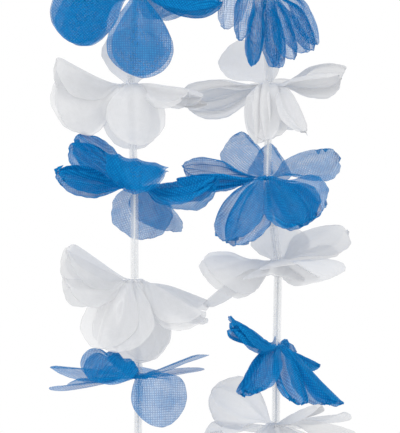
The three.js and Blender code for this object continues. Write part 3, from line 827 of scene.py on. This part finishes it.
def knob_mesh(seed):
    mesh = bmesh.new()
    bmesh.ops.create_circle(mesh, segments=KNOB_SEGMENTS, radius=1.0)
    bmesh.ops.scale(mesh, verts=mesh.verts, vec=(KNOB_WIDE, KNOB_HIGH, 1.0))
    upright = Matrix.Rotation(math.radians(90), 3, "X")
    bmesh.ops.rotate(mesh, verts=mesh.verts, cent=(0, 0, 0), matrix=upright)
    bmesh.ops.translate(mesh, verts=mesh.verts, vec=(KNOB_OUT, 0, 0))
    whole = {"cent": (0, 0, 0), "axis": (0, 0, 1), "angle": 2 * math.pi, "steps": KNOB_STEPS}
    bmesh.ops.spin(mesh, geom=mesh.verts[:] + mesh.edges[:], use_merge=True, **whole)
    mesh.verts.layers.float_vector.new("cloth")
    close = mesh.verts.layers.float.new("closeness")
    cloth = mesh.verts.layers.float_vector["cloth"]
    shift = np.random.default_rng(seed).uniform(0.0, 6.0)
    for point in mesh.verts:
        angle = math.atan2(point.co.y, point.co.x)
        pinch = math.cos(KNOB_PLEATS * angle + shift) + 0.4 * math.cos(7.0 * angle - shift)
        far = point.co.xy.length
        point[cloth] = (point.co.x, point.co.y, KNOB_WIDE)
        point[close] = KNOB_CLOSENESS
        point.co.z *= 1.0 + KNOB_PINCH_UP * pinch
        point.co.x *= 1.0 + KNOB_PINCH_OUT * pinch * (far / KNOB_OUT)
        point.co.y *= 1.0 + KNOB_PINCH_OUT * pinch * (far / KNOB_OUT)
    bmesh.ops.recalc_face_normals(mesh, faces=mesh.faces)
    return mesh


print("the gathered middle is", 2.0 * (KNOB_OUT + KNOB_WIDE), "mm across before it is pinched")

# %% [markdown]
# ## Eighteen flowers
# Each flower becomes two sheets of cloth, one a little above the other, and its
# gathered middle. Six of them are pleated in another style than the rest.

# %% Put the flowers together
PLEATS = {
    "left_5": FLUTED, "right_3": STRIPS, "right_4": GATHERED,
    "right_5": FLUTED, "right_6": GATHERED, "right_7": FLUTED,
}
AREA_STEPS = 400

mean_half_width = float(half_width(np.linspace(0.0, 1.0, AREA_STEPS)).mean())

for number, (name, flower) in enumerate(ring):
    node = f"flower_{name}"
    pleats = PLEATS.get(name, SMOOTH if flower.colour == WHITE else SOFT)
    upper = ("upper", flower.petals[:PETALS_PER_LAYER], LAYER_RISE)
    lower = ("lower", flower.petals[PETALS_PER_LAYER:], -LAYER_RISE)
    for layer, petals, rise in (upper, lower):
        mesh = layer_mesh(petals, pleats, number)
        put(mesh, flower, rise)
        piece = piece_from(mesh, f"{node}_{layer}_layer", cloths[flower.colour])
        thicken(piece)
        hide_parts(node)
    mesh = knob_mesh(number)
    put(mesh, flower)
    knob = piece_from(mesh, f"{node}_gathered_middle", cloths[flower.colour])
    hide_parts(node)
print("made", 3 * len(ring), "pieces of cloth")

# %% [markdown]
# ## Clear tubes
# A tube is a short cut length, like drinking straw. It reaches from one flower to
# the next, less the room that each leaning flower needs. Its wall is a rectangle
# spun round the tube's axis, and a bevel rounds the cut rims. Fine lines along the
# plastic make it a little less clear and less smooth.

# %% Tubes
TUBE_RADIUS = 2.4
TUBE_BORE = 1.85
TUBE_STEPS = 40
GAP = 0.35
KNOT_ROOM = 5.0
RIM_BEVEL = 0.12
TUBE_COLOUR = (0.80, 0.81, 0.83, 1)
LINES_ALONG_TUBE = (900.0, 900.0, 40.0)
LINE_HEIGHT = 0.00004


def clear_plastic():
    paint = Paint("clear_tube_plastic")
    place = paint.node("ShaderNodeTexCoord", output="Object")
    lines = paint.noise(paint.times(place, LINES_ALONG_TUBE), 1.0, 2.0)
    paint.set(Base_Color=TUBE_COLOUR, Specular_IOR_Level=0.6)
    paint.set(Roughness=0.12 + 0.15 * lines, Alpha=0.2 + 0.22 * lines)
    paint.set(Normal=paint.bump(lines, LINE_HEIGHT, 0.4))
    paint.seen_once()
    return paint.material


def centre_of(flower):
    return Vector((flower.x, 0.0, flower.z))


def lean_at(flower, start, end):
    """The angle between a flower's axis and the cord through it."""
    tilt = math.radians(flower.tilt)
    axis = Vector((math.sin(tilt), 0.0, math.cos(tilt)))
    return math.acos(min(1.0, abs((end - start).normalized().dot(axis))))


def end_room(flower, start, end):
    """How far from a flower's centre a tube has to end, so that its rim clears the middle."""
    lean = lean_at(flower, start, end)
    return (HUB_THICKNESS / 2 + GAP) / math.cos(lean) + TUBE_RADIUS * math.tan(lean)


def tube_mesh(start, end, room_before, room_after):
    length = (end - start).length - room_before - room_after
    mesh = bmesh.new()
    corners = [(TUBE_BORE, 0), (TUBE_RADIUS, 0), (TUBE_RADIUS, length), (TUBE_BORE, length)]
    points = [mesh.verts.new((r, 0, z)) for r, z in corners]
    wall = [mesh.edges.new((points[k - 1], points[k])) for k in range(4)]
    whole = {"cent": (0, 0, 0), "axis": (0, 0, 1), "angle": 2 * math.pi, "steps": TUBE_STEPS}
    bmesh.ops.spin(mesh, geom=points + wall, use_merge=True, **whole)
    bmesh.ops.recalc_face_normals(mesh, faces=mesh.faces)
    rims = [edge for edge in mesh.edges if abs(edge.verts[0].co.z - edge.verts[1].co.z) < WELD]
    rounding = {"affect": "EDGES", "segments": 2, "profile": 0.5, "material": -1}
    bmesh.ops.bevel(mesh, geom=rims, offset=RIM_BEVEL, **rounding)
    bmesh.ops.translate(mesh, verts=mesh.verts, vec=(0, 0, room_before))
    turn = Vector((0, 0, 1)).rotation_difference(end - start).to_matrix()
    bmesh.ops.rotate(mesh, verts=mesh.verts, cent=(0, 0, 0), matrix=turn)
    bmesh.ops.translate(mesh, verts=mesh.verts, vec=start)
    bmesh.ops.scale(mesh, verts=mesh.verts, vec=(MM, MM, MM))
    return mesh


plastic = clear_plastic()
for number, (_, flower) in enumerate(ring, 1):
    _, following = ring[number % len(ring)]
    start = centre_of(flower)
    end = centre_of(following)
    room = end_room(flower, start, end) + (KNOT_ROOM if number == 1 else 0.0)
    mesh = tube_mesh(start, end, room, end_room(following, start, end))
    tube = piece_from(mesh, f"clear_tube_{number:02d}", plastic, 40)
    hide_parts(f"tube_{number:02d}")
print("made", len(ring), "tubes")

# %% [markdown]
# ## The cord
# The cord is two plies of thread twisted together. Its section has two round
# lobes that turn as it goes, so the twist is in the shape. It starts as a flat
# grid as well, which is wrapped round the route and welded where it closes.

# %% Cord
CORD_RADIUS = 0.6
CORD_TURN = 3.0
CORD_SIDES = 12
RINGS_PER_TURN = 8
PLY_DEPTH = 0.2
ROUTE_ROUNDING = 3.0
THREAD_LIGHT = (0.92, 0.92, 0.91, 1)
THREAD_DARK = (0.84, 0.84, 0.82, 1)
FIBRE_HEIGHT = 0.00003
NEVER_SHARP = 180


def route_points():
    """The cord's route through the flowers' centres, rounded a little at each, in millimetres."""
    corners = [np.array(centre_of(flower)) for _, flower in ring]
    line = []
    for k, here in enumerate(corners):
        before = corners[k - 1]
        after = corners[(k + 1) % len(corners)]
        start = here + (before - here) * (ROUTE_ROUNDING / np.linalg.norm(before - here))
        end = here + (after - here) * (ROUTE_ROUNDING / np.linalg.norm(after - here))
        for t in (0.0, 0.25, 0.5, 0.75, 1.0):
            line.append((1 - t) ** 2 * start + 2 * t * (1 - t) * here + t**2 * end)
    line.append(line[0])
    return np.array(line)


def evenly(line, count):
    """Points at equal steps along a line, and the line's length."""
    steps = np.linalg.norm(np.diff(line, axis=0), axis=1)
    reached = np.concatenate([[0.0], np.cumsum(steps)])
    places = np.linspace(0.0, reached[-1], count + 1)
    columns = [np.interp(places, reached, line[:, k]) for k in range(3)]
    return np.stack(columns, axis=1), reached[-1]


def strand_mesh(line, radius, closed=False):
    """A two-ply strand along a line: a grid of rings and sides, moved into place."""
    length = np.linalg.norm(np.diff(line, axis=0), axis=1).sum()
    rings = int(round(length / CORD_TURN)) * RINGS_PER_TURN
    centres, length = evenly(line, rings)
    if closed:
        ahead = np.roll(centres[:-1], -1, axis=0) - np.roll(centres[:-1], 1, axis=0)
        ahead = np.concatenate([ahead, ahead[:1]])
    else:
        ahead = np.gradient(centres, axis=0)
    ahead /= np.linalg.norm(ahead, axis=1)[:, None]
    aside = np.cross(ahead, (0.0, 1.0, 0.0))
    aside /= np.linalg.norm(aside, axis=1)[:, None]
    over = np.cross(ahead, aside)
    mesh = bmesh.new()
    bmesh.ops.create_grid(mesh, x_segments=rings, y_segments=CORD_SIDES, size=1.0)
    place = mesh.verts.layers.float_vector.new("cord")
    for point in mesh.verts:
        k = int(round((point.co.x + 1.0) / 2.0 * rings))
        angle = math.pi * (point.co.y + 1.0)
        twist = 2.0 * math.pi * k / RINGS_PER_TURN
        lobes = 1.0 - PLY_DEPTH + PLY_DEPTH * math.cos(2.0 * (angle - twist))
        side = aside[k] * math.cos(angle) + over[k] * math.sin(angle)
        point.co = (centres[k] + side * radius * lobes) * MM
        point[place] = (length * k / rings, angle - twist, 0.0)
    bmesh.ops.remove_doubles(mesh, verts=mesh.verts, dist=WELD * MM)
    if not closed:
        open_edges = [edge for edge in mesh.edges if edge.is_boundary]
        bmesh.ops.holes_fill(mesh, edges=open_edges, sides=CORD_SIDES)
    bmesh.ops.recalc_face_normals(mesh, faces=mesh.faces)
    return mesh, length


def cord_paint():
    paint = Paint("cord_thread")
    place = paint.node("ShaderNodeAttribute", {"attribute_name": "cord"}, output="Vector")
    along, around, _ = paint.parts(place)
    fibres = (around * 7.0 + along * 5.0).sine() * 0.5 + 0.5
    body = paint.mix(fibres, THREAD_DARK, THREAD_LIGHT)
    paint.set(Base_Color=body, Roughness=0.8, Normal=paint.bump(fibres, FIBRE_HEIGHT, 0.3))
    # painted light: a faint glow of the thread's own colour lifts it where the tubes and its twist
    # shade it
    paint.set(Sheen_Weight=0.2, Emission_Color=body, Emission_Strength=0.08)
    return paint.material


thread = cord_paint()
mesh, cord_length = strand_mesh(route_points(), CORD_RADIUS, closed=True)
cord = piece_from(mesh, "cord_strand", thread, NEVER_SHARP)
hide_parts("cord_loop")
print("the cord's loop is", round(cord_length), "mm long")

# %% [markdown]
# ## Knot and tails
# The cord's two ends are tied beside the top flower. The knot is the same strand,
# wound round the cord in a few tight turns, and its two ends stand off it.

# %% Knot
KNOT_RADIUS = 1.5
KNOT_TURNS = 2.5
KNOT_PITCH = 1.0
KNOT_POINTS = 40
KNOT_STRAND = 0.5
TAIL_LENGTH = 14.0
TAIL_STEPS = 8
TAIL_STRAND = 0.55
TAIL_DROOP = 1.2
TAIL_DIRECTIONS = [(-0.35, 1.0, -0.5), (-0.7, 0.8, 0.1)]

top_flower = ring[0][1]
top_centre = centre_of(top_flower)
next_centre = centre_of(ring[1][1])
down_cord = (next_centre - top_centre).normalized()
knot_reach = end_room(top_flower, top_centre, next_centre) + KNOT_ROOM / 2.0
knot_spot = top_centre + down_cord * knot_reach


def knot_line():
    """A short helix round the cord."""
    forward = Vector((0.0, 1.0, 0.0))
    aside = down_cord.cross(forward)
    line = []
    for k in range(KNOT_POINTS + 1):
        turn = KNOT_TURNS * k / KNOT_POINTS
        angle = 2.0 * math.pi * turn
        off = (forward * math.cos(angle) + aside * math.sin(angle)) * (KNOT_RADIUS - KNOT_STRAND)
        line.append(knot_spot + off + down_cord * KNOT_PITCH * (turn - KNOT_TURNS / 2.0))
    return np.array(line)


def tail_line(direction):
    """A tail from the knot, which droops more the further it reaches."""
    way = Vector(direction).normalized()
    line = []
    for k in range(TAIL_STEPS + 1):
        t = k / TAIL_STEPS
        line.append(knot_spot + way * TAIL_LENGTH * t - Vector((0, 0, TAIL_DROOP * t * t)))
    return np.array(line)


mesh, _ = strand_mesh(knot_line(), KNOT_STRAND)
knot = piece_from(mesh, "cord_knot", thread, NEVER_SHARP)
for number, direction in enumerate(TAIL_DIRECTIONS, 1):
    mesh, _ = strand_mesh(tail_line(direction), TAIL_STRAND)
    tail = piece_from(mesh, f"cord_tail_{number}", thread, NEVER_SHARP)
print("the knot sits", round(knot_reach), "mm along the cord from the top flower's middle")

# %% [markdown]
